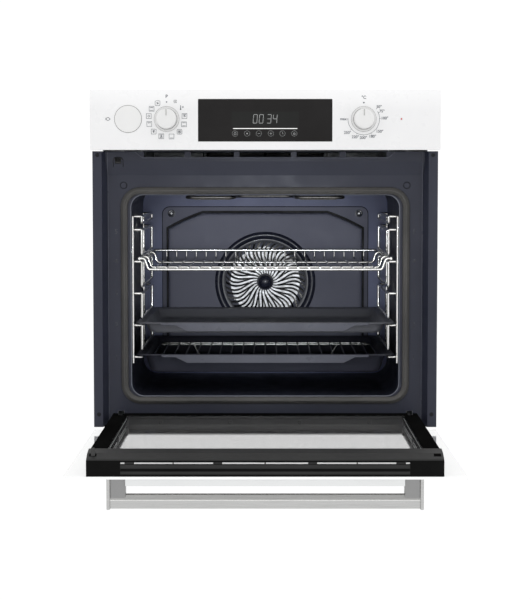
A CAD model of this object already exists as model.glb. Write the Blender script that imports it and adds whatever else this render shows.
"""Looks of a built-in wall oven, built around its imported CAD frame.

Everything is in the frame's own axes: X right, Y into the cabinet, Z up. Sizes below are in
millimetres and are turned into metres where a mesh is made. The door is stored open.
"""
import math

import bmesh
import bpy
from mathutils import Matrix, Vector


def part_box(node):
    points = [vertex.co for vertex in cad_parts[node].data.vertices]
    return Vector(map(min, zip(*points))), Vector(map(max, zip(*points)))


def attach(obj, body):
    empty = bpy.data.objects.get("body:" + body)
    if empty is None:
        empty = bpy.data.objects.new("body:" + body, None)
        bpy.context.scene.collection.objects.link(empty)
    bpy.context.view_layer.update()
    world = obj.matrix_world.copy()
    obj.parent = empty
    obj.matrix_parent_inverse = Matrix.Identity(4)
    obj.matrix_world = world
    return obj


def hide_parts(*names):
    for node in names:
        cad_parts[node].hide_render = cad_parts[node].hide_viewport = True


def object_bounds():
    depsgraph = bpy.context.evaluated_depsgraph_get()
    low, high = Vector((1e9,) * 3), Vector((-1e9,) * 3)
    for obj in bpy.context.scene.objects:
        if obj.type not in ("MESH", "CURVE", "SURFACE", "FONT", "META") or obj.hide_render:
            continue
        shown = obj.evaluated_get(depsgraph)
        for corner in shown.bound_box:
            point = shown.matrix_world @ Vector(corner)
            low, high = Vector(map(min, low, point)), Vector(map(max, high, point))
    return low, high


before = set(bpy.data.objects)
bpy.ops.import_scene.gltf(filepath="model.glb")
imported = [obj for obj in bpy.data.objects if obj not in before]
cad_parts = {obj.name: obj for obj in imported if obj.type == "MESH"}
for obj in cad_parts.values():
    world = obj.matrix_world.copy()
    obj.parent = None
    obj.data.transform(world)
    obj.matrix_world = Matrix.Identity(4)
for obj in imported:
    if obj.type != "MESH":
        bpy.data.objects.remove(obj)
CAD_LOW, CAD_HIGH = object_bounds()
MM = 0.001


def low(node):
    """Lowest corner of a CAD node, in millimetres."""
    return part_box(node)[0] / MM


def middle(node):
    low_corner, high_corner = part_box(node)
    return (low_corner + high_corner) / (2 * MM)


# ---------------------------------------------------------------- camera and light

CAMERA_DISTANCE = 2.979
CAMERA_HEIGHT = 0.4443
CAMERA_PITCH = math.radians(3.97)
CAMERA_LENS = 104.4
FLOOR_DROP = 1.4
FLOOR_REACH = 40.0
FLOOR_WHITE = 0.97
SKY_STRENGTH = 1.06


def grey(value):
    return (value, value, value)


def make_camera():
    camera = bpy.data.cameras.new("camera")
    camera.lens = CAMERA_LENS
    camera.sensor_width = 36.0
    holder = bpy.data.objects.new("camera", camera)
    bpy.context.collection.objects.link(holder)
    holder.location = (0.0005, -CAMERA_DISTANCE, CAMERA_HEIGHT)
    holder.rotation_euler = (math.pi / 2 - CAMERA_PITCH, 0, 0)
    bpy.context.scene.camera = holder


def add_light(kind, name, place, target, power, colour, **settings):
    lamp = bpy.data.lights.new(name, kind)
    for setting, value in settings.items():
        setattr(lamp, setting, value)
    lamp.energy = power
    lamp.color = colour
    holder = bpy.data.objects.new(name, lamp)
    bpy.context.collection.objects.link(holder)
    holder.location = place
    holder.rotation_euler = (Vector(target) - Vector(place)).to_track_quat("-Z", "Y").to_euler()


def area_light(name, place, target, size, power):
    add_light("AREA", name, place, target, power, (1, 1, 1),
              shape="RECTANGLE", size=size[0], size_y=size[1])


def make_studio():
    scene = bpy.context.scene
    scene.view_settings.view_transform = "Standard"
    world = bpy.data.worlds.new("studio")
    scene.world = world
    world.use_nodes = True
    background = world.node_tree.nodes["Background"]
    background.inputs["Color"].default_value = (1, 1, 1, 1)
    background.inputs["Strength"].default_value = SKY_STRENGTH
    area_light("key", (-1.1, -2.2, 2.1), (0, 0, 0.3), (1.6, 1.2), 2.2)
    area_light("fill", (1.5, -2.4, 1.2), (0, 0, 0.3), (1.4, 1.4), 1.2)
    area_light("cavity_fill", (0, -1.6, 0.62), (0, 0.4, 0.26), (0.9, 0.25), 0.8)
    add_light("SPOT", "back_wall", (0, -2.2, 0.30), (0, 0.45, 0.262), 30, (0.88, 0.93, 1.0),
              spot_size=math.radians(10.8), spot_blend=0.25, shadow_soft_size=0.06)
    size = FLOOR_REACH
    mesh = bpy.data.meshes.new("floor")
    z = CAD_LOW.z - FLOOR_DROP
    corners = [(-size, -size, z), (size, -size, z), (size, size, z), (-size, size, z)]
    mesh.from_pydata(corners, [], [(0, 1, 2, 3)])
    floor = bpy.data.objects.new("floor", mesh)
    bpy.context.collection.objects.link(floor)
    paint = bpy.data.materials.new("floor_paint")
    paint.use_nodes = True
    shader = paint.node_tree.nodes["Principled BSDF"]
    shader.inputs["Base Color"].default_value = (*grey(FLOOR_WHITE), 1)
    shader.inputs["Roughness"].default_value = 0.9
    mesh.materials.append(paint)


make_camera()
make_studio()

# ---------------------------------------------------------------- materials


class Nodes:
    """One node material: a Principled shader with noise behind its colour, roughness and bump."""

    def __init__(self, name, metallic=0.0, coat=0.0, specular=0.5):
        self.material = bpy.data.materials.new(name)
        self.material.use_nodes = True
        self.tree = self.material.node_tree
        self.shader = self.tree.nodes["Principled BSDF"]
        self.shader.inputs["Metallic"].default_value = metallic
        self.shader.inputs["Coat Weight"].default_value = coat
        self.shader.inputs["Coat Roughness"].default_value = 0.06
        self.shader.inputs["Specular IOR Level"].default_value = specular
        self.coords = self.tree.nodes.new("ShaderNodeTexCoord")

    def node(self, kind, **values):
        made = self.tree.nodes.new(kind)
        for key, value in values.items():
            made.inputs[key].default_value = value
        return made

    def link(self, source, target):
        self.tree.links.new(source, target)

    def noise(self, scale, detail, stretch=(1, 1, 1)):
        """Noise in the object's own metres; stretch squeezes it along an axis."""
        mapping = self.tree.nodes.new("ShaderNodeMapping")
        mapping.inputs["Scale"].default_value = stretch
        self.link(self.coords.outputs["Object"], mapping.inputs["Vector"])
        noise = self.node("ShaderNodeTexNoise", Scale=scale, Detail=detail, Roughness=0.55)
        self.link(mapping.outputs["Vector"], noise.inputs["Vector"])
        return noise.outputs["Fac"]

    def cells(self, scale):
        cells = self.node("ShaderNodeTexVoronoi", Scale=scale)
        self.link(self.coords.outputs["Object"], cells.inputs["Vector"])
        return cells

    def ramp(self, source, stops):
        """Colour ramp from (position, colour) stops."""
        ramp = self.tree.nodes.new("ShaderNodeValToRGB")
        elements = ramp.color_ramp.elements
        while len(elements) < len(stops):
            elements.new(0.5)
        for element, (place, colour) in zip(elements, stops):
            element.position = place
            element.color = (*colour, 1)
        self.link(source, ramp.inputs["Fac"])
        return ramp.outputs["Color"]

    def map_range(self, source, low_in, high_in, low_out, high_out):
        spread = self.node("ShaderNodeMapRange", **{"From Min": low_in, "From Max": high_in,
                                                    "To Min": low_out, "To Max": high_out})
        self.link(source, spread.inputs["Value"])
        return spread.outputs["Result"]

    def graded(self, source, axis, start_mm, end_mm, gain):
        """Scales a colour by 1 before start and by gain after end, along one of the object's axes."""
        parts = self.tree.nodes.new("ShaderNodeSeparateXYZ")
        self.link(self.coords.outputs["Object"], parts.inputs["Vector"])
        scale = self.tree.nodes.new("ShaderNodeVectorMath")
        scale.operation = "SCALE"
        self.link(source, scale.inputs[0])
        self.link(self.map_range(parts.outputs[axis], start_mm * MM, end_mm * MM, 1.0, gain),
                  scale.inputs["Scale"])
        return scale.outputs["Vector"]

    def colour(self, source):
        self.link(source, self.shader.inputs["Base Color"])

    def rough(self, source, smooth, coarse):
        self.link(self.map_range(source, 0.3, 0.7, smooth, coarse), self.shader.inputs["Roughness"])

    def bump(self, source, strength, depth_mm):
        bump = self.node("ShaderNodeBump", Strength=strength, Distance=depth_mm * MM)
        self.link(source, bump.inputs["Height"])
        self.link(bump.outputs["Normal"], self.shader.inputs["Normal"])


def painted(name, dark, light, smooth, coarse, grain=700, depth=0.01, coat=0, specular=0.5, fade=None):
    """Paint, enamel or moulded plastic: cloudy colour, orange-peel surface."""
    m = Nodes(name, coat=coat, specular=specular)
    base = m.ramp(m.noise(9, 4), [(0.35, dark), (0.65, light)])
    m.colour(m.graded(base, *fade) if fade else base)
    m.rough(m.noise(60, 3), smooth, coarse)
    m.bump(m.noise(grain, 2), 0.35, depth)
    return m.material


def enamel(name, dark, light, smooth, coarse, coat=0, specular=0.5, fade=None):
    """Vitreous enamel: fine dark and light specks fired into a glossy coat."""
    m = Nodes(name, coat=coat, specular=specular)
    base = m.ramp(m.noise(7, 5), [(0.3, dark), (0.7, light)])
    specks = m.cells(1500)
    mask = m.ramp(specks.outputs["Distance"], [(0.06, (1, 1, 1)), (0.16, (0, 0, 0))])
    mix = m.tree.nodes.new("ShaderNodeMix")
    mix.data_type = "RGBA"
    m.link(mask, mix.inputs["Factor"])
    m.link(base, mix.inputs["A"])
    mix.inputs["B"].default_value = (*[min(1, c * 1.7 + 0.012) for c in light], 1)
    m.colour(m.graded(mix.outputs["Result"], *fade) if fade else mix.outputs["Result"])
    m.rough(m.noise(35, 4), smooth, coarse)
    m.bump(m.noise(160, 3), 0.25, 0.06)
    return m.material


def metal(name, dark, light, smooth, coarse, grain, depth, stretch=(1, 1, 1)):
    """Bare metal, with streaks where stretch squeezes the noise."""
    m = Nodes(name, metallic=1.0)
    streaks = m.noise(grain, 3, stretch)
    m.colour(m.ramp(streaks, [(0.3, dark), (0.7, light)]))
    m.rough(m.noise(grain * 0.7, 2, stretch), smooth, coarse)
    m.bump(streaks, 0.3, depth)
    return m.material


def zinc(name):
    """Galvanised sheet with its crystals."""
    m = Nodes(name, metallic=0.85)
    cells = m.cells(95)
    m.colour(m.ramp(cells.outputs["Color"], [(0.1, (0.42, 0.44, 0.46)), (0.9, (0.6, 0.62, 0.63))]))
    m.rough(cells.outputs["Color"], 0.34, 0.5)
    m.bump(m.noise(400, 3), 0.2, 0.01)
    return m.material


def glass(name, tint, haze, share):
    """Thin pane: mostly clear, with a faint film of its own."""
    m = Nodes(name)
    m.shader.inputs["Roughness"].default_value = 0.03
    film = tuple(haze * c for c in tint)
    m.colour(m.ramp(m.noise(3, 2), [(0.3, film), (0.7, tuple(c * 1.15 for c in film))]))
    clear = m.tree.nodes.new("ShaderNodeBsdfTransparent")
    clear.inputs["Color"].default_value = (*tint, 1)
    mix = m.tree.nodes.new("ShaderNodeMixShader")
    mix.inputs["Fac"].default_value = share
    m.link(m.shader.outputs["BSDF"], mix.inputs[1])
    m.link(clear.outputs["BSDF"], mix.inputs[2])
    m.link(mix.outputs["Shader"], m.tree.nodes["Material Output"].inputs["Surface"])
    return m.material


def glow(name, colour, strength):
    """Lit marks of the clock and the keys."""
    m = Nodes(name)
    m.colour(m.ramp(m.noise(200, 2), [(0.3, colour), (0.7, colour)]))
    m.shader.inputs["Emission Color"].default_value = (*colour, 1)
    m.shader.inputs["Emission Strength"].default_value = strength
    m.shader.inputs["Roughness"].default_value = 0.5
    return m.material


def wool(name):
    m = Nodes(name, specular=0.1)
    m.colour(m.ramp(m.noise(120, 6, (1, 1, 3)), [(0.35, (0.45, 0.38, 0.22)), (0.65, (0.75, 0.68, 0.48))]))
    m.rough(m.noise(200, 2), 0.9, 1.0)
    m.bump(m.noise(260, 6, (1, 1, 3)), 1.0, 1.2)
    return m.material


WHITE_PAINT = painted("white_paint", (0.805, 0.805, 0.81), (0.825, 0.825, 0.83), 0.25, 0.35, 600, 0.01,
                      specular=0.3, fade=("Z", 560, 592, 1.08))
WHITE_PLASTIC = painted("white_moulding", grey(0.74), (0.78, 0.78, 0.775), 0.3, 0.4, 1500, 0.006,
                        specular=0.3)
RIM_PLASTIC = painted("rim_moulding", (0.42, 0.42, 0.41), (0.48, 0.48, 0.47), 0.3, 0.42, 1500, 0.006)
PRINT = painted("printed_ink", (0.030, 0.042, 0.060), (0.045, 0.058, 0.078), 0.5, 0.6, 2500, 0.002)
PRINT_LIGHT = painted("printed_line", (0.10, 0.10, 0.095), (0.14, 0.14, 0.13), 0.5, 0.6, 2500, 0.002)
FRAME_ENAMEL = enamel("frame_enamel", (0.020, 0.0225, 0.037), (0.027, 0.030, 0.047), 0.32, 0.45,
                      specular=0.3)
LINER_ENAMEL = enamel("liner_enamel", (0.036, 0.040, 0.062), (0.046, 0.050, 0.077), 0.34, 0.46,
                      specular=0.2, fade=("Y", 440, 449, 7.2))
COVER_ENAMEL = enamel("cover_enamel", (0.185, 0.192, 0.250), (0.210, 0.217, 0.280), 0.36, 0.5,
                      specular=0.15, fade=("Z", 250, 400, 1.5))
TRAY_ENAMEL = enamel("tray_enamel", (0.036, 0.038, 0.052), (0.048, 0.050, 0.066), 0.32, 0.44,
                     specular=0.3)
UPPER_TRAY_ENAMEL = enamel("upper_tray_enamel", (0.13, 0.134, 0.152), (0.155, 0.160, 0.180), 0.32,
                           0.44, specular=0.3)
CHROME = metal("chromed_wire", (0.78, 0.78, 0.76), (0.9, 0.9, 0.88), 0.08, 0.2, 500, 0.003)
GRID_CHROME = metal("grid_chrome", (0.36, 0.36, 0.34), (0.46, 0.46, 0.44), 0.16, 0.28, 500, 0.003)
BRUSHED = metal("brushed_steel", (0.46, 0.46, 0.455), (0.56, 0.56, 0.555), 0.22, 0.36, 1600, 0.006,
                stretch=(0.012, 1, 1))
STEEL = metal("mill_steel", grey(0.42), grey(0.56), 0.3, 0.45, 700, 0.006, stretch=(0.2, 1, 1))
ELEMENT = metal("element_sheath", (0.16, 0.155, 0.15), (0.28, 0.27, 0.25), 0.35, 0.5, 300, 0.01)
FIN_STEEL = metal("fin_steel", (0.45, 0.45, 0.44), (0.62, 0.62, 0.60), 0.16, 0.26, 500, 0.003)
ZINC = zinc("galvanised_sheet")
DOOR_BLACK = painted("door_black", grey(0.003), grey(0.005), 0.5, 0.6, 900, 0.004, specular=0.0)
TRIM_BLACK = painted("trim_black", grey(0.006), grey(0.009), 0.5, 0.6, 1400, 0.006, specular=0.0)
SLOPE_BLACK = painted("slope_black", grey(0.026), grey(0.032), 0.4, 0.5, 1400, 0.006, specular=0.12)
BLACK_PLASTIC = painted("black_moulding", grey(0.02), grey(0.03), 0.45, 0.6, 1400, 0.012)
IVORY = painted("ivory_moulding", (0.62, 0.58, 0.48), (0.7, 0.66, 0.56), 0.4, 0.55, 1200, 0.01)
CERAMIC = painted("ceramic", (0.7, 0.68, 0.62), (0.78, 0.76, 0.7), 0.25, 0.4, 500, 0.02)
BOARD = painted("circuit_board", (0.015, 0.11, 0.05), (0.025, 0.15, 0.07), 0.3, 0.45, 900, 0.01)
GASKET = painted("seal_rubber", (0.040, 0.039, 0.038), (0.060, 0.058, 0.055), 0.5, 0.65, 1600, 0.05)
HOSE = painted("hose_rubber", grey(0.02), grey(0.032), 0.6, 0.75, 1200, 0.02)
DISPLAY = painted("display_glass", (0.010, 0.009, 0.009), (0.013, 0.012, 0.012), 0.1, 0.16, 300, 0.001,
                  specular=0.08)
SCREEN = painted("screen_tint", (0.0125, 0.013, 0.0125), (0.0145, 0.015, 0.0145), 0.1, 0.16, 300,
                 0.001, specular=0.08)
RED_LENS = painted("red_lens", (0.6, 0.02, 0.02), (0.75, 0.04, 0.03), 0.2, 0.3, 900, 0.004)
WHITE_GLASS = painted("white_backed_glass", (0.90, 0.905, 0.905), (0.93, 0.935, 0.935), 0.04, 0.07, 60,
                      0.001, coat=1.0)
WOOL = wool("mineral_wool")
LIT = glow("lit_marks", (0.36, 0.37, 0.37), 0.22)
LIT_BAR = glow("lit_bar", (0.85, 0.86, 0.84), 0.5)
CLEAR_GLASS = glass("clear_glass", (0.95, 0.96, 0.95), 0.3, 0.85)
GREY_GLASS = glass("door_glass", (1.0, 1.0, 1.0), 0.22, 0.90)
BULB_GLASS = glass("bulb_glass", (0.95, 0.92, 0.85), 0.5, 0.7)


def paint_node(node, material):
    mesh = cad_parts[node].data
    mesh.materials.clear()
    mesh.materials.append(material)


def round_edges(piece, width, angle):
    """Rounds edges sharper than angle with a modifier."""
    bevel = piece.modifiers.new("bevel", "BEVEL")
    bevel.width = width * MM
    bevel.segments = 2
    bevel.limit_method = "ANGLE"
    bevel.angle_limit = math.radians(angle)


def soften(node, width):
    """Rounds a CAD node's edges; its own mesh stays as it is."""
    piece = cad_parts[node]
    piece.modifiers.new("weld", "WELD").merge_threshold = 0.00001
    flat = piece.modifiers.new("flat", "DECIMATE")
    flat.decimate_type = "DISSOLVE"
    flat.angle_limit = math.radians(0.4)
    round_edges(piece, width, 32)


# ---------------------------------------------------------------- mesh building

# An open door's Y is DOOR_Y less the shut door's Z, and its Z is DOOR_Z more than the shut door's Y
DOOR_Y, DOOR_Z = 32, 28
# Front faces of the panel and of the print on it, and the print's thickness
PANEL = low("control_panel").y
PRINT_FRONT, PRINT_THICK = PANEL - 0.12, 0.2


def on_axis(axis, v, a, b):
    """The point v along an axis, with a and b along the other two in X, Y, Z order."""
    return {"x": (v, a, b), "y": (a, v, b), "z": (a, b, v)}[axis]


class Parts:
    """Points and faces of one piece, in millimetres. What draws into it returns it."""

    def __init__(self):
        self.points = []
        self.faces = []

    def add(self, points, faces):
        start = len(self.points)
        self.points += [Vector(p) for p in points]
        self.faces += [tuple(i + start for i in face) for face in faces]
        return self

    def box(self, a, b):
        x0, y0, z0 = a
        x1, y1, z1 = b
        points = [(x, y, z) for z in (z0, z1) for y in (y0, y1) for x in (x0, x1)]
        return self.add(points, [(0, 2, 3, 1), (4, 5, 7, 6), (0, 1, 5, 4), (2, 6, 7, 3), (0, 4, 6, 2),
                                 (1, 3, 7, 5)])

    def rings(self, rings, closed=False):
        """Skin over rings that all have the same number of points."""
        count = len(rings[0])
        points = [p for ring in rings for p in ring]
        faces = []
        last = len(rings) if closed else len(rings) - 1
        for i in range(last):
            a, b = i * count, (i + 1) % len(rings) * count
            for j in range(count):
                k = (j + 1) % count
                faces.append((a + j, a + k, b + k, b + j))
        if not closed:
            faces.append(tuple(reversed(range(count))))
            faces.append(tuple(range(len(points) - count, len(points))))
        return self.add(points, faces)

    def tube(self, path, radius, sides=12, closed=False):
        """Round wire along a path of points."""
        path = [Vector(p) for p in path]
        count = len(path)
        rings = []
        side = None
        for i, point in enumerate(path):
            before = path[(i - 1) % count] if closed or i else path[0]
            after = path[(i + 1) % count] if closed or i < count - 1 else path[-1]
            along = (after - before).normalized()
            if side is None:
                side = along.orthogonal().normalized()
            side = (side - along * side.dot(along)).normalized()
            other = along.cross(side)
            ring = []
            for k in range(sides):
                turn = 2 * math.pi * k / sides
                ring.append(point + (side * math.cos(turn) + other * math.sin(turn)) * radius)
            rings.append(ring)
        return self.rings(rings, closed)

    def lathe(self, profile, centre, axis="y", steps=64):
        """Turns (radius, place) points about an axis through centre."""
        rings = []
        for k in range(steps):
            turn = 2 * math.pi * k / steps
            c, s = math.cos(turn), math.sin(turn)
            ring = [on_axis(axis, v, r * c, r * s) for r, v in profile]
            rings.append([[a + b for a, b in zip(centre, point)] for point in ring])
        return self.rings(rings, closed=True)

    def prism(self, outline, low_side, high_side, axis="y"):
        """Straight extrusion of an outline along an axis."""
        return self.rings([[on_axis(axis, v, a, b) for a, b in outline] for v in (low_side, high_side)])

    def frame_sweep(self, loop, profile):
        """Carries a profile of (outward, depth) points round a loop of (point, normal) pairs."""
        return self.rings([[(a + na * out, depth, b + nb * out) for out, depth in profile]
                           for (a, b), (na, nb) in loop], closed=True)

    def box_pair(self, near, far, low_corner, high_corner):
        """A box from near to far on each side of the middle; its corners are (y, z)."""
        for sign in (1, -1):
            a, b = sorted((sign * near, sign * far))
            self.box((a, *low_corner), (b, *high_corner))
        return self

    def hoop(self, centre, radius, wire, steps=96):
        """Round wire bent to a circle that faces the front."""
        x, y, z = centre
        turns = [2 * math.pi * k / steps for k in range(steps)]
        return self.tube([(x + radius * math.cos(t), y, z + radius * math.sin(t)) for t in turns],
                         wire, 6, closed=True)

    def flat_frame(self, outer, inner, front, back):
        """Flat frame between two outlines that have the same number of points."""
        corners = ((outer, front), (outer, back), (inner, back), (inner, front))
        return self.rings([[(a, y, b) for a, b in outline] for outline, y in corners], closed=True)

    def make(self, name, body, slot, material, bevel=0.0, smooth=35):
        mesh = bpy.data.meshes.new(name)
        mesh.from_pydata([p * MM for p in self.points], [], self.faces)
        work = bmesh.new()
        work.from_mesh(mesh)
        bmesh.ops.remove_doubles(work, verts=work.verts, dist=0.000001)
        bmesh.ops.recalc_face_normals(work, faces=work.faces)
        work.to_mesh(mesh)
        work.free()
        mesh.shade_smooth()
        mesh.set_sharp_from_angle(angle=math.radians(smooth))
        mesh.materials.append(material)
        piece = bpy.data.objects.new(name, mesh)
        bpy.context.collection.objects.link(piece)
        if bevel:
            round_edges(piece, bevel, 35)
        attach(piece, body)
        return piece


def arc(centre, radius, start, end, steps):
    """Points on an arc, angles in degrees."""
    turns = [math.radians(start + (end - start) * i / steps) for i in range(steps + 1)]
    return [(centre[0] + radius * math.cos(t), centre[1] + radius * math.sin(t)) for t in turns]


def rounded_loop(a0, b0, a1, b1, radius, steps=8):
    """(point, outward normal) pairs round a rectangle with round corners."""
    loop = []
    corners = [(a1 - radius, b1 - radius, 0), (a0 + radius, b1 - radius, 90),
               (a0 + radius, b0 + radius, 180), (a1 - radius, b0 + radius, 270)]
    for ca, cb, start in corners:
        for i in range(steps + 1):
            turn = math.radians(start + 90 * i / steps)
            normal = (math.cos(turn), math.sin(turn))
            loop.append(((ca + radius * normal[0], cb + radius * normal[1]), normal))
    return loop


def rounded(*sizes):
    """The points of a rounded_loop."""
    return [point for point, _ in rounded_loop(*sizes)]


def round_path(points, radius, steps=5):
    """Bends a path's corners to a radius."""
    points = [Vector(p) for p in points]
    path = [points[0]]
    for before, corner, after in zip(points, points[1:], points[2:]):
        back, ahead = (before - corner), (after - corner)
        reach = min(radius, back.length * 0.49, ahead.length * 0.49)
        start = corner + back.normalized() * reach
        end = corner + ahead.normalized() * reach
        for i in range(steps + 1):
            t = i / steps
            path.append(start * (1 - t) ** 2 + corner * 2 * t * (1 - t) + end * t ** 2)
    path.append(points[-1])
    return path


def door_piece(parts, name, slot, material, **options):
    """Makes a piece of the door from parts drawn with the door shut."""
    parts.points = [Vector((p.x, DOOR_Y - p.z, DOOR_Z + p.y)) for p in parts.points]
    return parts.make(name, "door", slot, material, **options)


def letters(parts, text, size, place, front=PRINT_FRONT, thick=PRINT_THICK, bold=0.1):
    """Lettering in the X-Z plane, its face at depth front, centred on place."""
    curve = bpy.data.curves.new("letters", "FONT")
    curve.body = text
    curve.size = size
    curve.extrude = thick / 2
    curve.offset = bold
    curve.align_x = "CENTER"
    curve.align_y = "CENTER"
    holder = bpy.data.objects.new("letters", curve)
    bpy.context.collection.objects.link(holder)
    bpy.context.view_layer.update()
    mesh = bpy.data.meshes.new_from_object(holder.evaluated_get(bpy.context.evaluated_depsgraph_get()))
    x, z = place
    points = [(x + v.co.x, front + thick / 2 - v.co.z, z + v.co.y) for v in mesh.vertices]
    parts.add(points, [tuple(face.vertices) for face in mesh.polygons])
    bpy.data.objects.remove(holder)
    bpy.data.curves.remove(curve)
    bpy.data.meshes.remove(mesh)


def stroke(parts, points, width, front=PRINT_FRONT, closed=False):
    """Flat line in the X-Z plane through points, like printing."""
    points = [Vector(p) for p in points]
    if closed:
        points.append(points[0])
    for a, b in zip(points, points[1:]):
        if (b - a).length < 0.01:
            continue
        along = (b - a).normalized() * width / 2
        side = Vector((-along.y, along.x))
        a, b = a - along * 0.6, b + along * 0.6
        parts.prism([a + side, b + side, b - side, a - side], front, front + PRINT_THICK)


def disc(parts, centre, radius, front=PRINT_FRONT):
    parts.prism(arc(centre, radius, 0, 342, 19), front, front + PRINT_THICK)


def around(centre, radius, clock):
    """Point on a dial, clockwise from the top in degrees."""
    turn = math.radians(clock)
    return (centre[0] + radius * math.sin(turn), centre[1] + radius * math.cos(turn))


# ---------------------------------------------------------------- finish of the CAD nodes

PAINT = {
    WHITE_PAINT: ["control_panel"],
    WHITE_PLASTIC: ["water_drawer", "water_guide", "function_bezel", "temperature_bezel"],
    ZINC: ["panel_carrier", "side_panels", "top_cover", "base_panel", "rear_panel", "motor_cover",
           "cooling_duct", "hinge_receivers"],
    DISPLAY: ["display_window"],
    BOARD: ["display_module"],
    STEEL: ["function_spindle", "temperature_spindle", "hinge_arms", "door_hinges", "hinge_springs",
            "convection_shaft", "convection_motor", "cooling_motor", "fan_cover_screws",
            "convection_impeller"],
    ELEMENT: ["ring_element", "lower_element"],
    IVORY: ["function_switch", "thermostat"],
    RED_LENS: ["pilot_light"],
    HOSE: ["water_hose"],
    FRAME_ENAMEL: ["front_frame", "frame_plugs"],
    LINER_ENAMEL: ["cavity_liner"],
    BLACK_PLASTIC: ["door_switch", "terminal_block", "cooling_rotor", "door_fittings"],
    CERAMIC: ["lamp_socket"],
    BULB_GLASS: ["lamp_bulb"],
    CLEAR_GLASS: ["lamp_lens"],
    GREY_GLASS: ["middle_glass", "inner_glass"],
    WOOL: ["insulation"],
    DOOR_BLACK: ["door_sides", "door_bottom_profile"],
    SLOPE_BLACK: ["door_top_trim"],
}
for finish, nodes in PAINT.items():
    for name in nodes:
        paint_node(name, finish)

EDGES = {
    "control_panel": 1.4, "water_drawer": 0.5, "function_bezel": 0.25, "temperature_bezel": 0.25,
    "display_window": 0.5, "front_frame": 0.5, "frame_plugs": 0.5, "side_panels": 0.3,
    "top_cover": 0.3, "base_panel": 0.3, "rear_panel": 0.3, "motor_cover": 0.9, "terminal_block": 0.8,
    "door_sides": 0.9, "door_bottom_profile": 0.6, "door_top_trim": 0.5,
    "hinge_arms": 0.5, "door_fittings": 0.3, "convection_motor": 0.6, "cooling_duct": 0.3,
    "fan_cover_screws": 0.5, "insulation": 4.0, "panel_carrier": 0.3, "inner_glass": 0.4,
}
for name, width in EDGES.items():
    soften(name, width)

# ---------------------------------------------------------------- control panel

KNOB_Z = middle("function_knob").z
DIALS = {dial: middle(dial + "_knob").x for dial in ("function", "temperature")}


def make_knob(name, x):
    front = low(name + "_knob").y + 0.5
    centre = (x, front, KNOB_Z)
    cap = Parts()
    cap.lathe([(0, 0.35), (9, 0.2), (13.6, 0.0), (15.6, 0.25), (16.6, 1.0), (17.1, 2.2), (17.2, 4.0),
               (17.2, 20), (15.6, 20), (15.6, 3.2), (5.6, 2.6), (5.6, 24), (3.1, 24), (3.1, 2.4), (0, 2.4)],
              centre, steps=96)
    piece = cap.make(name + "_cap_shell", name + "_cap", "white_plastic", WHITE_PLASTIC, smooth=40)
    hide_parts(name + "_knob")
    rib = Parts().box((x - 0.9, front - 0.5, KNOB_Z + 5.5), (x + 0.9, front + 1.2, KNOB_Z + 16.2))
    rib.make(name + "_pointer", name + "_cap", "white_plastic", RIM_PLASTIC, bevel=0.3)
    ring = Parts()
    ring.hoop((x, PANEL - 0.02, KNOB_Z), 21.1, 0.3)
    ring.hoop((x, front + 15.4, KNOB_Z), 17.35, 0.4)
    ring.make(name + "_dial_ring", "oven", "white_plastic", PRINT_LIGHT)


for dial, place in DIALS.items():
    make_knob(dial, place)


# Strokes of the signs, in units of half a sign: points, width against the usual one, closed
SIGN_HALF, SIGN_LINE = 4.1, 0.6
STROKES = {
    "square": ([(-1, -1), (1, -1), (1, 1), (-1, 1)], 1, True),
    "round": (rounded(-1, -1, 1, 1, 0.45, 3), 1, True),
    "top": ([(-0.62, 0.62), (0.62, 0.62)], 1.2, False),
    "base": ([(-0.62, -0.62), (0.62, -0.62)], 1.2, False),
    "grill": ([(-0.66 + 0.22 * i, 0.34 if i % 2 else 0.64) for i in range(7)], 1, False),
    "small_grill": ([(-0.33, 0.64), (-0.11, 0.34), (0.11, 0.64), (0.33, 0.34)], 1, False),
    "diamond": ([(0, -0.5), (0.5, 0), (0, 0.5), (-0.5, 0)], 1, True),
    "ring": (arc((0, 0), 0.62, 0, 345, 16), 1, True),
}


def sign(parts, centre, marks):
    """Cooking mode sign, drawn from the names of its marks."""
    def draw(points, weight, closed):
        placed = [(centre[0] + a * SIGN_HALF, centre[1] + b * SIGN_HALF) for a, b in points]
        stroke(parts, placed, weight * SIGN_LINE, closed=closed)

    for mark in marks.split():
        if mark != "fan":
            draw(*STROKES[mark])
            continue
        for turn in (45, 135, 225, 315):
            start = math.radians(turn)
            draw([(0.12 * math.cos(start), 0.12 * math.sin(start)),
                  (0.5 * math.cos(start + 0.35), 0.5 * math.sin(start + 0.35))], 1.5, False)
        disc(parts, centre, 0.1 * SIGN_HALF + 0.2)


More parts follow.
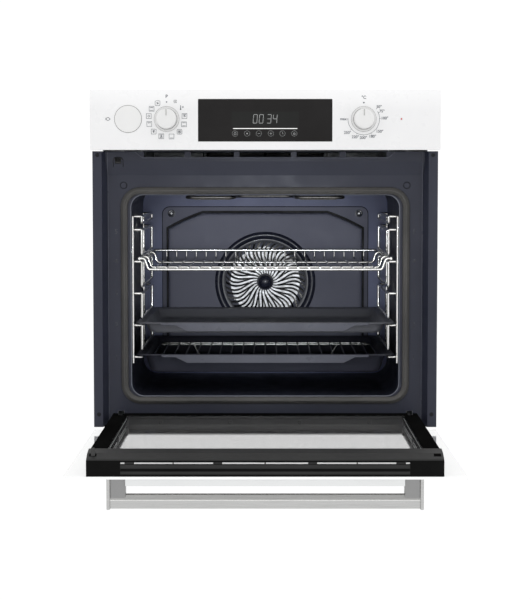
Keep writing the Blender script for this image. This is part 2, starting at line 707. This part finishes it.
def make_function_marks():
    centre = (DIALS["function"], KNOB_Z)
    ink = Parts()
    letters(ink, "P", 7.8, around(centre, 37.8, 0))
    disc(ink, around(centre, 28.6, 0), 1.1)
    steam = around(centre, 32.8, 26)
    for dx in (-1.8, 0, 1.8):
        wave = [(steam[0] + dx + 0.5 * math.sin(k * 1.2), steam[1] - 2.6 + k * 0.65) for k in range(9)]
        stroke(ink, wave, 0.6)
    probe = around(centre, 31.3, 52.5)
    stroke(ink, [(probe[0] - 1.2, probe[1] - 2), (probe[0] - 1.2, probe[1] + 3.4)], 1.0)
    disc(ink, (probe[0] - 1.2, probe[1] - 2.6), 1.25)
    for turn in (0, 60, 120):
        star = (probe[0] + 2.6, probe[1] + 1)
        stroke(ink, [arc(star, 1.5, turn + half, 0, 1)[0] for half in (180, 0)], 0.5)
    modes = [(80.6, "square fan top"), (107, "square top base"), (135, "round fan ring"),
             (164.6, "square base"), (197.6, "square fan base top"), (226, "square small_grill fan"),
             (254, "square grill"), (279, "square diamond"), (304, "square grill base"), (330, "round fan")]
    for clock, marks in modes:
        sign(ink, around(centre, 30.6, clock), marks)
    drop = (-265.5, KNOB_Z)
    outline = [(drop[0] + 3.4, drop[1])]
    outline += [(a - 0.6, b) for a, b in arc((drop[0], drop[1]), 2.5, 55, 305, 14)]
    stroke(ink, outline, 0.8, closed=True)
    for dz in (-1.4, 0, 1.4):
        stroke(ink, [(drop[0] - 5.0, drop[1] + dz), (drop[0] - 3.9, drop[1] + dz)], 0.6)
    ink.make("function_marks", "oven", "white_enamel", PRINT)


def make_temperature_marks():
    centre = (DIALS["temperature"], KNOB_Z)
    ink = Parts()
    disc(ink, around(centre, 27.5, 0), 1.3)
    letters(ink, "°C", 7.4, around(centre, 36.2, 0))
    numbers = [("50", 51.5, 33), ("75", 67, 33.4), ("100", 88, 35.4), ("150", 128, 34.3),
               ("180", 153, 33), ("200", 181, 31.7), ("220", 205, 33.5), ("250", 230, 35.8),
               ("max", 270, 34.6)]
    for text, clock, radius in numbers:
        label = text if text == "max" else text + "°"
        letters(ink, label, 6.5, around(centre, radius, clock), bold=0.11)
        stroke(ink, [around(centre, 26.7, clock), around(centre, 28.3, clock)], 0.6)
    stroke(ink, [around(centre, 26.7, 62 + 6 * k) for k in range(36)], 0.55)
    ink.make("temperature_marks", "oven", "white_enamel", PRINT)


make_function_marks()
make_temperature_marks()

DISPLAY_FRONT = low("display_window").y
DISPLAY_Z = middle("display_window").z
KEY_Z = 521.5
# Ends of a digit's seven strokes, and the strokes that each digit lights
STROKE_ENDS = {"a": ((0, 1), (1, 1)), "b": ((1, 1), (1, 0.5)), "c": ((1, 0.5), (1, 0)),
               "d": ((0, 0), (1, 0)), "e": ((0, 0.5), (0, 0)), "f": ((0, 1), (0, 0.5)),
               "g": ((0, 0.5), (1, 0.5))}
SEGMENTS = {"0": "abcdef", "3": "abcdg", "4": "bcfg"}


def display_mark(parts, points, width, closed=False):
    stroke(parts, points, width, DISPLAY_FRONT - PRINT_THICK, closed)


def make_screen():
    window = rounded(-57, DISPLAY_Z - 10.5, 57, DISPLAY_Z + 14.5, 1.5, 3)
    screen = Parts().prism(window, DISPLAY_FRONT - 0.06, DISPLAY_FRONT + 0.3)
    screen.make("display_screen", "oven", "display_glass", SCREEN)


def make_digits():
    """The time, in leaning seven-stroke digits, and the bar under it."""
    lit = Parts()
    wide, high, lean, gap, foot = 6.4, 14.4, 0.08, 0.55, 539.0
    for x, digit in ((-20.6, "0"), (-10.4, "0"), (2.9, "3"), (12.9, "4")):
        for segment in SEGMENTS[digit]:
            a, b = [Vector((x + u * wide + v * high * lean, foot + v * high))
                    for u, v in STROKE_ENDS[segment]]
            inset = (b - a).normalized() * gap
            display_mark(lit, [a + inset, b - inset], 0.7)
    lit.make("display_digits", "oven", "display_glass", LIT)
    bar = Parts()
    display_mark(bar, [(-54, 529.9), (54, 529.9)], 1.1)
    bar.make("display_bar", "oven", "display_glass", LIT_BAR)


def make_keys():
    keys = Parts()
    places = [-51.1, -30.6, -10.7, 9.6, 29.3, 49.2]
    for x in places:
        display_mark(keys, arc((x, KEY_Z), 4.6, 0, 350, 30), 0.3, closed=True)
    bell, dot, minus, plus, clock, lock = places
    disc(keys, (dot, KEY_Z), 1.1, DISPLAY_FRONT - PRINT_THICK)
    signs = [(bell, [(-2, -1.5), (-1.3, 1.1), (0, 2.5), (1.3, 1.1), (2, -1.5)], 0.45, True),
             (minus, [(-2, 0), (2, 0)], 0.5, False),
             (plus, [(-2, 0), (2, 0)], 0.5, False),
             (plus, [(0, -2), (0, 2)], 0.5, False),
             (clock, [(0, 2.3), (0, 0), (1.7, -0.9)], 0.5, False),
             (lock, [(-1.6, -1.7), (1.6, -1.7), (1.6, 0.5), (-1.6, 0.5)], 0.5, True),
             (lock, arc((0, 0.5), 1.1, 0, 180, 8), 0.4, False)]
    for x, points, width, closed in signs:
        display_mark(keys, [(x + a, KEY_Z + b) for a, b in points], width, closed)
    keys.make("display_keys", "oven", "display_glass", LIT)


make_screen()
make_digits()
make_keys()


def make_drawer_ring():
    ring = Parts().hoop((middle("water_drawer").x, PANEL - 0.05, KNOB_Z), 22.9, 0.42)
    ring.make("drawer_ring", "oven", "white_plastic", PRINT_LIGHT)


make_drawer_ring()

# ---------------------------------------------------------------- front frame and gasket

FRAME_FLOOR = 20.0
FRAME_UPPER = 14.0


def enamel_line(name, material, paths, radius, sides=8, closed=False):
    """Line or raised edge on the enamel: one wire along each path."""
    line = Parts()
    for path in paths:
        line.tube(path, radius, sides, closed)
    line.make(name, "oven", "dark_enamel", material)


def make_level_numbers():
    raised = Parts()
    for level, z in enumerate((136, 193, 248, 303, 354), 1):
        for x in (-257, 257):
            letters(raised, str(level), 11.5, (x, z), FRAME_FLOOR - 0.35, 0.5, bold=0)
    raised.make("level_numbers", "oven", "dark_enamel", FRAME_EMBOSS)


def make_frame_lines():
    """Edges and beads pressed into the front frame."""
    tab = [(-260.7, 465.5), (-260.7, 478), (-257.5, 481.7), (-247, 481.7), (-243.8, 478), (-243.8, 465.5)]
    slope = (FRAME_FLOOR - FRAME_UPPER) / 24
    line = [(x, FRAME_UPPER + slope * max(475 - z, 0), z) for x, z in tab]
    enamel_line("upper_tab", DARK_LINE, [round_path(line, 3)], 0.8)
    lip = [(-222.5, 490.8), (-211, 481.3), (211, 481.3), (222.5, 490.8)]
    line = [(x, FRAME_UPPER - 0.1, z) for x, z in lip]
    enamel_line("vent_lip", EDGE_ENAMEL, [round_path(line, 3)], 0.9)
    mouth = rounded(-231.6, 69.1, 231.6, 417.9, 22.5, 10)
    enamel_line("mouth_bead", BEAD_ENAMEL, [[(a, FRAME_FLOOR + 0.5, b) for a, b in mouth]], 1.0, closed=True)
    side = [(FRAME_FLOOR - 0.6, 24), (FRAME_FLOOR - 0.6, 450), (FRAME_UPPER - 0.4, 474),
            (FRAME_UPPER - 0.4, 490)]
    enamel_line("recess_edges", EDGE_ENAMEL, [[(x, y, z) for y, z in side] for x in (-270.6, 270.6)], 0.9)


def make_frame_screws():
    rings = Parts()
    for x in (-243.5, 243.5):
        rings.hoop((x, FRAME_FLOOR - 0.2, 433.8), 5.5, 0.7, 32)
    rings.make("plug_seats", "oven", "dark_enamel", DARK_LINE)
    screws = Parts()
    for x in (-286.5, 286.5):
        for z in (40, 485.5):
            screws.lathe([(0, -1.15), (1.6, -1.1), (1.9, -1.3), (2.9, -1.25), (3.9, -0.9), (3.9, -0.75),
                          (0, -0.75)], (x, 0, z), steps=32)
    screws.make("niche_washers", "oven", "steel", DARK_LINE)


def make_gasket():
    loop = rounded_loop(-242.8, 62.0, 242.8, 424.6, 28, 14)
    profile = [(-5.8, 20), (-6.2, 18.2), (-5.4, 16.4), (-3.6, 15.2), (-1.9, 14.8), (-1.2, 13.9),
               (0.2, 13.6), (1.6, 13.9), (2.3, 14.8), (4.2, 15.6), (5.6, 17.0), (6.1, 18.6), (5.8, 20)]
    seal = Parts()
    seal.frame_sweep(loop, profile)
    piece = seal.make("gasket_profile", "oven", "gasket_rubber", GASKET, smooth=60)
    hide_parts("door_gasket")


FRAME_EMBOSS = enamel("emboss_enamel", (0.030, 0.032, 0.042), (0.040, 0.043, 0.055), 0.2, 0.34,
                      coat=0.2)
DARK_LINE = enamel("dark_line_enamel", (0.006, 0.0065, 0.009), (0.009, 0.010, 0.013), 0.35, 0.5,
                   specular=0.2)
EDGE_ENAMEL = enamel("edge_enamel", (0.060, 0.064, 0.086), (0.078, 0.083, 0.108), 0.25, 0.38,
                     specular=0.4)
BEAD_ENAMEL = enamel("bead_enamel", (0.10, 0.11, 0.14), (0.14, 0.15, 0.18), 0.1, 0.2, coat=0.2)
make_level_numbers()
make_frame_lines()
make_frame_screws()
make_gasket()

# ---------------------------------------------------------------- cavity

FAN_X, FAN_Z = 0.0, 243.5
COVER_FACE = 426.0
FAN_HOLE = 98.0
ARCH_CENTRE, ARCH_REACH, ARCH_PITCH = 16.0, 382.0, 4.0


def arch_corners(grow):
    """Raised part of the fan cover: a round-cornered box whose top corners are cut by a large curve."""
    half, floor, ceiling, reach = 190 + grow, 92 - grow, 378 + grow, ARCH_REACH + grow
    top = math.degrees(math.acos((ceiling - ARCH_CENTRE) / reach))
    side = math.degrees(math.asin(half / reach))
    points = arc((half - 20 - grow, floor + 20 + grow), 20 + grow, -90, 0, 8)
    points += arc((0, ARCH_CENTRE), reach, 90 - side, 90 - top, 14)
    points += arc((0, ARCH_CENTRE), reach, 90 + top, 90 + side, 14)
    points += arc((-half + 20 + grow, floor + 20 + grow), 20 + grow, 180, 270, 8)
    return points


def arch_outline(grow):
    """The same outline with points close together; their number doesn't depend on grow."""
    base, points = arch_corners(0), arch_corners(grow)
    dense = []
    for k, (a, b) in enumerate(zip(points, points[1:] + points[:1])):
        count = max(1, int(math.dist(base[k], base[(k + 1) % len(base)]) / ARCH_PITCH))
        for i in range(count):
            dense.append((a[0] + (b[0] - a[0]) * i / count, a[1] + (b[1] - a[1]) * i / count))
    return dense


def make_fan_cover():
    skin = Parts()
    skin.prism(rounded(-202, 82, 202, 390, 14, 6), 448.8, 450.0)
    levels = [(0.0, 22.9), (0.0, 15), (-0.4, 5), (-1.2, 2.2), (-2.6, 0.8), (-4.6, 0.15), (-7.5, 0),
              (-10.5, 0), (-14.0, 0)]
    rings = [[(x, COVER_FACE + y, z) for x, z in arch_outline(grow)] for grow, y in levels]
    count = len(rings[0])
    hole = []
    for x, y, z in rings[-1]:
        turn = math.atan2(z - FAN_Z, x - FAN_X)
        hole.append((FAN_X + FAN_HOLE * math.cos(turn), COVER_FACE, FAN_Z + FAN_HOLE * math.sin(turn)))
    rings.append(hole)
    points = [p for ring in rings for p in ring]
    faces = [(i * count + j, i * count + (j + 1) % count, (i + 1) * count + (j + 1) % count,
              (i + 1) * count + j) for i in range(len(rings) - 1) for j in range(count)]
    skin.add(points, faces)
    piece = skin.make("fan_cover_sheet", "oven", "dark_enamel", COVER_ENAMEL, smooth=50)
    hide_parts("fan_cover")
    foot = Parts().flat_frame(arch_outline(0.2), arch_outline(4.5), 448.9, 448.3)
    foot.make("fan_cover_foot", "oven", "dark_enamel", DARK_LINE)
    rim = [(a, 449.3, b) for a, b in rounded(-202.2, 81.8, 202.2, 390.2, 14, 6)]
    enamel_line("fan_cover_edge", DARK_LINE, [rim], 0.9, 6, closed=True)


def make_fan_rings():
    turned = [
        ("fan_ring", RING_ENAMEL, 50, 120,
         [(98.6, 0.2), (96.5, -2.4), (93.0, -4.0), (89.5, -3.6), (86.4, -1.2), (85.0, 1.4), (83.4, 2.6),
          (83.4, 4.4), (86, 4.4), (90, 0.5), (94, -0.5), (98.6, 2.0)]),
        ("fan_rim", RIM_ENAMEL, 40, 120,
         [(84.4, 0.6), (83.2, 0.2), (78.0, 2.2), (77.2, 3.0), (77.2, 4.2), (84.4, 4.2)]),
        ("fan_hub", RING_ENAMEL, 50, 64,
         [(0, -6.4), (4, -6.1), (8, -5.0), (11, -2.8), (12.8, 0.4), (13.2, 3.6), (15.5, 4.0), (16.2, 5.6),
          (0, 5.6)]),
    ]
    for name, finish, smooth, steps, profile in turned:
        part = Parts().lathe(profile, (FAN_X, COVER_FACE, FAN_Z), steps=steps)
        part.make(name, "oven", "dark_enamel", finish, smooth=smooth)


def make_fan_fins():
    """Long and short fins in turn, each a thin curved blade."""
    fins = Parts()
    count, steps, outer = 48, 10, 78.0
    for k in range(count):
        long_fin = k % 2
        first = 2 * math.pi * k / count
        inner = 15.5 if long_fin else 24.0
        lean = 2.6 if long_fin else -1.4
        rings = []
        for i in range(steps + 1):
            share = i / steps
            r = inner + (outer - inner) * share
            turn = first + 0.26 * math.sin(math.pi * share * 0.9) + 0.05 * share
            centre = Vector((FAN_X + r * math.cos(turn), FAN_Z + r * math.sin(turn)))
            across = Vector((-math.sin(turn), math.cos(turn))) * (0.7 + 1.55 * (r / outer))
            a, b = centre + across, centre - across
            y = COVER_FACE + 2.6 + 2.6 * math.sin(math.pi * share)
            rings.append([(a.x, y, a.y), (b.x, y + lean, b.y), (b.x, y + lean + 0.9, b.y),
                          (a.x, y + 0.9, a.y)])
        fins.rings(rings)
    fins.make("fan_fins", "oven", "steel", FIN_STEEL, smooth=30)


def make_cover_screws():
    screws = Parts()
    profile = [(0, -2.0), (1.6, -1.6), (1.9, -2.9), (3.4, -3.0), (4.8, -2.4), (5.4, -0.6), (5.4, 0.2),
               (7.4, 0.4), (7.6, 1.2), (0, 1.2)]
    for x in (-184.4, 184.4):
        screws.lathe(profile, (x, 448, 377.2), steps=40)
    screws.make("cover_screw_cups", "oven", "dark_enamel", RING_ENAMEL)


def make_grill_element():
    grill = Parts()
    z, rear, front = 412, 478, 141
    bends = [(-140, rear), (-140, front), (-56, front), (-56, 380), (56, 380), (56, front), (140, front),
             (140, rear)]
    grill.tube(round_path([(x, y, z) for x, y in bends], 18, 8), 3.2, 12)
    clip = [(-44, 5), (-36, 5), (-34, -4.6), (34, -4.6), (36, 5), (44, 5)]
    for x in (-98, 98):
        grill.tube(round_path([(x + dx, 253, z + dz) for dx, dz in clip], 2), 1.2, 8)
        for dx in (-46, 38):
            grill.box((x + dx, 250, z + 4.4), (x + dx + 8, 256, z + 12.6))
    piece = grill.make("grill_element", "oven", "steel", ELEMENT, smooth=50)
    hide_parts("upper_element")


def make_rack(side, sign):
    """Uprights and rails: lower rails turn out to the uprights, upper ones turn up to the next rail."""
    wires = Parts()
    front, back, rail, upright, top = 60.0, 335.0, 216.0, 232.0, 379.6
    for y in (front, back):
        wires.tube([(sign * upright, y, 122.6), (sign * upright, y, top)], 3.0, 12)
        wires.tube([(sign * 239.8, y, 250), (sign * upright, y, 250)], 2.8, 10)
    lows = [133.1 + 55.8 * level for level in range(5)]
    lines = []
    for z, following in zip(lows, lows[1:] + [top]):
        lines.append([(upright, front, z), (rail, front, z), (rail, back, z), (upright, back, z)])
        lines.append([(rail, front, following), (rail, front, z + 12), (rail, back, z + 12),
                      (rail, back, following)])
    lines.append([(upright, front, top), (rail, front, top), (rail, back, top), (upright, back, top)])
    for line in lines:
        wires.tube(round_path([(sign * x, y, z) for x, y, z in line], 4), 2.5, 10)
    piece = wires.make("rack_wires_" + side, "oven", "chrome_wire", CHROME, smooth=60)
    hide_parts("side_rack_" + side)


def make_shelf():
    """Wire shelf: outer rim at the top, grid hung below it, front to back wires bent up at the rear."""
    wires = Parts()
    top, grid = 306.1, 287.1
    front, back = 57.0, 412.0
    side = [(-219, front - 1.5, top), (-219, back, top), (219, back, top), (219, front - 1.5, top)]
    wires.tube(round_path(side, 9, 6), 2.7, 12)
    for y in (front, 138, 321):
        bar = [(-219, y, top), (-210.8, y, top), (-204.4, y, grid),
               (204.4, y, grid), (210.8, y, top), (219, y, top)]
        wires.tube(round_path(bar, 4.5, 6), 2.5, 12)
    for i in range(-10, 11):
        x = i * 19.2
        line = [(x, front - 1, grid + 2.6), (x, back - 1, grid + 2.6), (x, back, top)]
        wires.tube(round_path(line, 5, 5), 1.35, 8)
    piece = wires.make("shelf_wires", "shelf", "chrome_wire", CHROME, smooth=60)
    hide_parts("wire_shelf")


def make_tray(name, body, rim_z, depth, wall_in, finish):
    """Pressed tray: rings of (inset, corner radius, depth) down its inside and its underside."""
    front, back, half = 50.0, 418.0, 226.0

    def loop(inset, radius, z):
        ring = rounded(-half + inset, front + inset, half - inset, back - inset, radius, 6)
        return [(a, b, z) for a, b in ring]

    foot = 17 + wall_in
    top = [(0.0, 9, -1.4), (0.1, 9, -0.5), (0.7, 9, -0.05), (2.0, 8.6, -0.2), (3.4, 8.0, -0.9),
           (14.6, 12, -0.9), (16.4, 12, -1.5), (17.6, 12, -3.2), (foot - 1.4, 15, -depth + 5.2),
           (foot + 0.6, 16, -depth + 2.4), (foot + 4.5, 16, -depth + 1.2), (foot + 30, 14, -depth + 1.2)]
    bottom = [(0.9, 9, -1.8), (2.2, 8.6, -1.4), (3.6, 8.0, -2.1), (13.6, 12, -2.1), (15.6, 12, -3.4),
              (foot - 2.5, 15, -depth + 5), (foot - 0.4, 16, -depth + 1.4), (foot + 4.5, 16, -depth)]
    rings = [loop(inset, radius, rim_z + z) for inset, radius, z in reversed(bottom)]
    rings += [loop(inset, radius, rim_z + z) for inset, radius, z in top]
    piece = Parts().rings(rings).make(name + "_pressing", body, "tray_enamel", finish, smooth=50)
    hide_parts(name)
    outline = [(-181, -1), (181, -1), (181, -5.0), (157, -5.2), (137, -15), (-137, -15),
               (-157, -5.2), (-181, -5.0)]
    lip = Parts().prism([(x, rim_z + z) for x, z in outline], front - 1.2, front + 0.2)
    lip.make(name + "_lip", body, "tray_enamel", LIP_ENAMEL, bevel=0.5)


def make_tray_grid():
    wires = Parts()
    top = 127.6
    wires.tube([(a, b, top) for a, b in rounded(-201.4, 86, 201.4, 382, 12, 5)], 1.7, 10, closed=True)
    for y in (90.5, 377.5):
        bar = [(-201.4, y, top - 1.2), (-197, y, top - 2.6), (197, y, top - 2.6), (201.4, y, top - 1.2)]
        wires.tube(round_path(bar, 3), 1.9, 10)
    for i in range(-9, 10):
        x = i * 20.6
        wires.tube([(x, 86, top), (x, 382, top)], 1.4, 8)
    for x in (-139, 139):
        for y in (90.5, 377.5):
            wires.tube([(x, y, top - 2), (x * 0.92, y, 106.4)], 1.8, 8)
    piece = wires.make("grid_wires", "grid", "chrome_wire", GRID_CHROME, smooth=60)
    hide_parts("tray_grid")


RING_ENAMEL = enamel("ring_enamel", (0.026, 0.030, 0.052), (0.036, 0.040, 0.066), 0.2, 0.32, coat=0.1)
RIM_ENAMEL = enamel("rim_enamel", (0.11, 0.115, 0.135), (0.14, 0.145, 0.165), 0.2, 0.32, coat=0.2)
LIP_ENAMEL = enamel("lip_enamel", (0.058, 0.061, 0.080), (0.070, 0.073, 0.094), 0.25, 0.38,
                    specular=0.3)
make_fan_cover()
make_fan_rings()
make_fan_fins()
make_cover_screws()
make_grill_element()
make_rack("left", -1)
make_rack("right", 1)
make_shelf()
make_tray("shallow_tray", "upper_tray", 194.5, 20, 6, UPPER_TRAY_ENAMEL)
make_tray("deep_tray", "lower_tray", 138.7, 34, 8, TRAY_ENAMEL)
make_tray_grid()

# ---------------------------------------------------------------- door


def make_outer_glass():
    edge, mouth = rounded(-297, 5, 297, 490, 2.5, 4), rounded(-235, 46, 235, 432, 4.0, 4)
    border = Parts().flat_frame(edge, mouth, -22, -18)
    piece = door_piece(border, "outer_glass_border", "white_glass", WHITE_GLASS, bevel=0.35)
    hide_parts("outer_glass")
    pane = Parts().prism(rounded(-234.9, 46.1, 234.9, 431.9, 4.0, 4), -21.9, -18.1)
    door_piece(pane, "outer_glass_window", "white_glass", GREY_GLASS)


def make_trim():
    """Top edge of the door: ribbed plate between two end blocks, with the slots seen through it."""
    ends = Parts().box_pair(212.5, 262.4, (-18.2, 486.2), (5.6, 488.0))
    door_piece(ends, "trim_end_blocks", "door_black", TRIM_BLACK, bevel=0.5)
    ribs = Parts()
    for low_y, high_y in ((-17.8, -15.2), (-10.4, -6.6), (-0.2, 0.3), (3.2, 5.4)):
        ribs.box((-212, low_y, 486.4), (212, high_y, 488.2))
    door_piece(ribs, "trim_ribs", "door_black", TRIM_BLACK, bevel=0.4)
    back = Parts().box((-212, -17.9, 485.4), (212, 0.3, 486.5))
    back.box((-212, 3.0, 485.4), (212, 5.4, 486.5))
    door_piece(back, "trim_back_plate", "door_black", DOOR_BLACK, bevel=0.2)
    glow_strip = Parts()
    for first, last in ((0.9, 63), (76, 134), (135.5, 192), (206, 212)):
        glow_strip.box_pair(first, last, (0.5, 483.6), (2.7, 486.6))
    door_piece(glow_strip, "trim_slot_light", "door_black", SLOT_WHITE, bevel=0.2)
    face = Parts()
    for sign in (1, -1):
        a, b = sorted((sign * 259, sign * 248))
        face.prism([(8.4, 470.5), (13.5, 470.5), (10.7, 478.5), (8.4, 478.5)], a, b, "x")
    door_piece(face, "trim_catch_recess", "door_black", DOOR_BLACK, bevel=0.5)


def make_liner_plate():
    plate = Parts().box((-236, -17, 27.5), (236, 12, 28.3))
    for x in (-180, -60, 60, 180):
        plate.lathe([(0, 2.0), (1.6, 1.9), (2.2, 2.2), (3.6, 1.6), (4.0, 0.6), (0, 0.6)],
                    (x, -2, 27.9), "z", 24)
    door_piece(plate, "door_liner_plate", "door_black", LINER_GREY, bevel=0.3)


def make_pane_edges():
    """Ground edges of the inner panes and the dark border printed on the inner one."""
    edges = Parts()
    for y in (8.8, -1.6, -6.4):
        edges.box_pair(235.4, 236.4, (y - 0.35, 62), (y + 0.35, 436))
    for y, z in ((8.7, 439.0), (-1.7, 437.5)):
        edges.box((-236, y - 0.3, z - 0.8), (236, y + 0.3, z))
    door_piece(edges, "pane_edges", "clear_glass", EDGE_LIGHT)
    edge, mouth = rounded(-236.7, 57.3, 236.7, 439.7, 1.0, 3), rounded(-233.0, 60.5, 233.0, 437.5, 2.0, 3)
    mask = Parts().flat_frame(edge, mouth, 8.9, 9.05)
    door_piece(mask, "pane_mask", "clear_glass", DOOR_BLACK)


def make_handle():
    """Bar with a bevel towards the user, on two posts, closed by an end plate on each side."""
    face, glass = -66.5, -22.0
    bevel = (face + 13, 484)
    outline = [(face, 468.4), (face + 0.35, 467.6), (face + 1.1, 467.1), (face + 13, 468),
               (face + 20.2, 470.1), (face + 20.5, 470.6), (face + 20.5, 480.4), (face + 20.2, 480.9), bevel,
               (face + 1.0, 483.2), (face + 0.35, 482.9), (face, 482.2)]
    bar = Parts().prism(outline, -228, 228, "x")
    piece = door_piece(bar, "handle_bar", "brushed_handle", BRUSHED, bevel=0.25)
    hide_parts("handle")
    faces = [("handle_bevel", BEVEL_STEEL, [(13.4, 483.7), (20.1, 480.8), (20.3, 481.0), (13.5, 484.0)]),
             ("handle_inner_face", ELEMENT, [(20.4, 470.8), (20.6, 470.8), (20.6, 480.5), (20.4, 480.5)])]
    for name, finish, outline in faces:
        strip = Parts().prism([(face + y, z) for y, z in outline], -227.5, 227.5, "x")
        door_piece(strip, name, "brushed_handle", finish)
    pairs = [("handle_posts", POST_STEEL, 1.0, 205, 228.2, (face + 13.5, 468.1), (glass, 482.9)),
             ("handle_ends", BRUSHED, 0.9, 228, 233, (face - 1.5, 466), (glass, 485)),
             ("handle_joints", ELEMENT, 0, 227.7, 228.3, (face - 0.4, 466.4), (glass - 0.2, 484.4))]
    for name, finish, rounding, near, far, low_corner, high_corner in pairs:
        pair = Parts().box_pair(near, far, low_corner, high_corner)
        door_piece(pair, name, "brushed_handle", finish, bevel=rounding)
    line = Parts().tube([(-227.4, *bevel), (227.4, *bevel)], 0.45, 8)
    door_piece(line, "handle_glint", "brushed_handle", CHROME)
    backing = Parts().box((-205, -32.0, 485.8), (205, -21.9, 488.6))
    door_piece(backing, "handle_backing", "white_glass", BACKING_GREY, bevel=0.2)


BACKING_GREY = painted("backing_grey", (0.70, 0.71, 0.71), (0.73, 0.74, 0.74), 0.3, 0.4, 900, 0.004)
BEVEL_STEEL = metal("bevel_steel", (0.24, 0.24, 0.235), (0.31, 0.31, 0.305), 0.22, 0.36, 1600, 0.006,
                    stretch=(0.012, 1, 1))
POST_STEEL = metal("post_steel", grey(0.25), grey(0.33), 0.3, 0.45, 1200, 0.004, stretch=(1, 0.05, 1))
LINER_GREY = painted("liner_grey", (0.055, 0.055, 0.057), (0.075, 0.075, 0.078), 0.45, 0.6, 900, 0.006,
                     specular=0.1)
SLOT_WHITE = painted("slot_white", grey(0.8), grey(0.84), 0.4, 0.5, 900, 0.004)
EDGE_LIGHT = painted("edge_light", (0.40, 0.42, 0.42), (0.52, 0.54, 0.54), 0.15, 0.3, 900, 0.004)
make_outer_glass()
make_trim()
make_liner_plate()
make_pane_edges()
make_handle()

# ---------------------------------------------------------------- casing


def make_casing_screws():
    heads = Parts()
    spots = [(x, 520, z) for x in (-262, 262) for z in (14, 150, 290, 430, 562)]
    spots += [(x, 520, z) for x in (-90, 90) for z in (14, 562)]
    spots += [(x, 545, z) for x in (-112, 112) for z in (130, 250, 370)]
    for spot in spots:
        heads.lathe([(0, 1.3), (1.5, 1.2), (1.8, 1.9), (3.2, 1.7), (4.2, 0.9), (4.6, -0.2), (0, -0.2)],
                    spot, steps=24)
    for x, sign in ((-278, -1), (278, 1)):
        for y, z in ((30, 560), (260, 560), (500, 560), (500, 20), (260, 20), (60, 20)):
            heads.lathe([(0, 1.2 * sign), (3.0, 1.1 * sign), (4.4, 0.6 * sign), (4.6, -0.2 * sign),
                         (0, -0.2 * sign)], (x, y, z), "x", 24)
    heads.make("casing_screws", "oven", "steel", STEEL)


def make_casing_beads():
    """Stiffening beads pressed into the sides and the top."""
    lines = [[(x, 40, 578.2), (x, 500, 578.2)] for x in (-200, -140, 140, 200)]
    for x in (-278.2, 278.2):
        lines += [[(x, 60, z), (x, 490, z)] for z in (60, 420)]
        lines += [[(x, y, 60), (x, y, 420)] for y in (60, 490)]
    seams = Parts()
    for line in lines:
        seams.tube(line, 1.1, 8)
    seams.make("casing_beads", "oven", "galvanised", ZINC)


make_casing_screws()
make_casing_beads()
